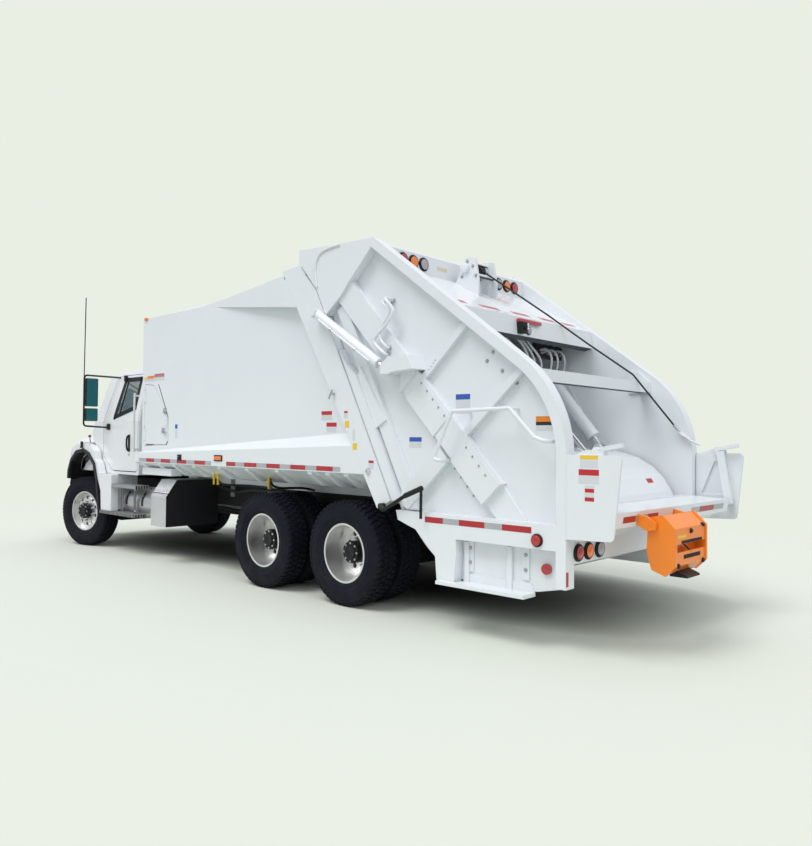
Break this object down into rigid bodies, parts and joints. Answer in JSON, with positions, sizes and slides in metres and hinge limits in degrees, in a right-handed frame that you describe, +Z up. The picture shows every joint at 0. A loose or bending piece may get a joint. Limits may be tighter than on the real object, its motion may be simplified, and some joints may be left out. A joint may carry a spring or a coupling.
{
  "type": "rear loading garbage truck",
  "caption": "Conventional cab refuse truck with a hollow push-out body and a rear tailgate that packs refuse with a sliding, sweeping blade.",
  "frame": {"origin": "on the ground under the middle of the truck, half way along and half way across", "axes": "+X to the front of the truck, +Y to its left, +Z up"},
  "size_m": [10.1101, 2.716, 3.66],
  "materials": {
    "chassis_black": "satin",
    "tyre": "matte",
    "rim_metal": "satin",
    "cab_white": "gloss",
    "glass": "gloss",
    "interior_grey": "matte",
    "trim_black": "satin",
    "lens_clear": "gloss",
    "step_grey": "satin",
    "tank_metal": "satin",
    "body_white": "gloss",
    "rod_chrome": "polished",
    "lamp_red": "gloss",
    "cable_dark": "satin",
    "lifter_orange": "gloss"
  },
  "bodies": {
    "truck": {"frame_rails": "chassis_black", "axles": "chassis_black", "springs": "chassis_black", "engine": "chassis_black", "cab_shell": "cab_white", "cab_glass": "glass", "cab_interior": "interior_grey", "rear_fenders": "cab_white", "arch_lips": "trim_black", "front_bumper": "cab_white", "cab_steps": "step_grey", "side_tanks": "tank_metal", "body_shell": "body_white", "body_rear_frame": "body_white", "body_subframe": "body_white", "turnbuckles": "trim_black"},
    "hood": {"hood": "cab_white", "hood_lips": "trim_black", "grille": "trim_black", "headlamps": "lens_clear"},
    "door_left": {"door_left": "cab_white", "door_glass_left": "glass", "mirror_left": "trim_black"},
    "door_right": {"door_right": "cab_white", "door_glass_right": "glass", "mirror_right": "trim_black"},
    "access_door": {"access_door": "body_white"},
    "ejector": {"ejector": "body_white"},
    "knuckle_left": {"knuckle_left": "chassis_black"},
    "knuckle_right": {"knuckle_right": "chassis_black"},
    "wheel_front_left": {"tyre_front_left": "tyre", "wheel_front_left": "rim_metal"},
    "wheel_front_right": {"tyre_front_right": "tyre", "wheel_front_right": "rim_metal"},
    "wheels_mid_left": {"tyres_mid_left": "tyre", "wheels_mid_left": "rim_metal"},
    "wheels_mid_right": {"tyres_mid_right": "tyre", "wheels_mid_right": "rim_metal"},
    "wheels_rear_left": {"tyres_rear_left": "tyre", "wheels_rear_left": "rim_metal"},
    "wheels_rear_right": {"tyres_rear_right": "tyre", "wheels_rear_right": "rim_metal"},
    "tailgate": {"gate_sides": "body_white", "gate_roof": "body_white", "hopper_trough": "body_white", "hopper_sill": "body_white", "wings": "body_white", "side_steps": "body_white", "rear_lamps": "lamp_red", "winch_cable": "cable_dark", "pack_barrels": "body_white", "lifter_base": "lifter_orange"},
    "packer_slide": {"packer_slide": "body_white", "pack_rods": "rod_chrome", "sweep_barrels": "body_white"},
    "sweep_blade": {"sweep_blade": "body_white"},
    "sweep_rods": {"sweep_rods": "rod_chrome"},
    "lift_barrels": {"lift_barrels": "body_white"},
    "lift_rods": {"lift_rods": "rod_chrome"},
    "lifter_face": {"lifter_face": "lifter_orange"}
  },
  "joints": [
    {"name": "steer_left", "type": "hinge", "parent": "truck", "child": "knuckle_left", "pos_m": [4.025, 0.83, 0.515], "axis": [0, 0, 1], "range_deg": [-47.6, 22.4]},
    {"name": "spin_front_left", "type": "hinge", "parent": "knuckle_left", "child": "wheel_front_left", "pos_m": [3.9814, 1.0252, 0.515], "axis": [-0.2181, 0.9759, 0], "continuous": true},
    {"name": "spin_mid_left", "type": "hinge", "parent": "truck", "child": "wheels_mid_left", "pos_m": [-0.575, 0.914, 0.515], "axis": [0, 1, 0], "continuous": true},
    {"name": "spin_rear_left", "type": "hinge", "parent": "truck", "child": "wheels_rear_left", "pos_m": [-1.895, 0.914, 0.515], "axis": [0, 1, 0], "continuous": true},
    {"name": "door_left_swing", "type": "hinge", "parent": "truck", "child": "door_left", "pos_m": [3.575, 1.03, 1.8], "axis": [0, 0, -1], "range_deg": [0, 60]},
    {"name": "steer_right", "type": "hinge", "parent": "truck", "child": "knuckle_right", "pos_m": [4.025, -0.83, 0.515], "axis": [0, 0, 1], "range_deg": [-47.6, 22.4]},
    {"name": "spin_front_right", "type": "hinge", "parent": "knuckle_right", "child": "wheel_front_right", "pos_m": [4.0686, -1.0252, 0.515], "axis": [-0.2181, 0.9759, 0], "continuous": true},
    {"name": "spin_mid_right", "type": "hinge", "parent": "truck", "child": "wheels_mid_right", "pos_m": [-0.575, -0.914, 0.515], "axis": [0, 1, 0], "continuous": true},
    {"name": "spin_rear_right", "type": "hinge", "parent": "truck", "child": "wheels_rear_right", "pos_m": [-1.895, -0.914, 0.515], "axis": [0, 1, 0], "continuous": true},
    {"name": "door_right_swing", "type": "hinge", "parent": "truck", "child": "door_right", "pos_m": [3.575, -1.03, 1.8], "axis": [0, 0, 1], "range_deg": [0, 60]},
    {"name": "hood_tilt", "type": "hinge", "parent": "truck", "child": "hood", "pos_m": [4.905, 0, 0.75], "axis": [0, 1, 0], "range_deg": [0, 70]},
    {"name": "access_swing", "type": "hinge", "parent": "truck", "child": "access_door", "pos_m": [2.197, 1.1293, 1.9], "axis": [0, 0, -1], "range_deg": [0, 100]},
    {"name": "ejector_push", "type": "slide", "parent": "truck", "child": "ejector", "axis": [-1, 0, 0], "range_m": [0, 3.1]},
    {"name": "tailgate_lift", "type": "hinge", "parent": "truck", "child": "tailgate", "pos_m": [-1.115, 0, 3.52], "axis": [0, 1, 0], "range_deg": [0, 75]},
    {"name": "lift_barrels_swing", "type": "hinge", "parent": "truck", "child": "lift_barrels", "pos_m": [-1.55006, 0, 2.89296], "axis": [0, 1, 0], "range_deg": [0, 87.84]},
    {"name": "lift_rods_slide", "type": "slide", "parent": "lift_barrels", "child": "lift_rods", "axis": [-0.8493, 0, -0.5279], "range_m": [0, 0.863]},
    {"name": "packer_travel", "type": "slide", "parent": "tailgate", "child": "packer_slide", "axis": [0.6906, 0, 0.7232], "range_m": [0, 0.95]},
    {"name": "sweep_swing", "type": "hinge", "parent": "packer_slide", "child": "sweep_blade", "pos_m": [-3.50502, 0, 1.36008], "axis": [0, -1, 0], "range_deg": [-30, 80]},
    {"name": "sweep_rods_slide", "type": "slide", "parent": "packer_slide", "child": "sweep_rods", "axis": [-0.6399, 0, -0.7685], "range_m": [-0.0968, 0.2574]},
    {"name": "lifter_tip", "type": "hinge", "parent": "tailgate", "child": "lifter_face", "pos_m": [-4.85514, 0, 1.00008], "axis": [0, 1, 0], "range_deg": [0, 110]}
  ],
  "couplings": [
    {"joint": "steer_right", "follows": "steer_left", "ratio": 1},
    {"joint": "lift_barrels_swing", "follows": "tailgate_lift", "ratio": 1.1705},
    {"joint": "lift_rods_slide", "follows": "tailgate_lift", "m_per_rad": 0.65887},
    {"joint": "sweep_rods_slide", "follows": "sweep_swing", "m_per_rad": 0.184}
  ]
}
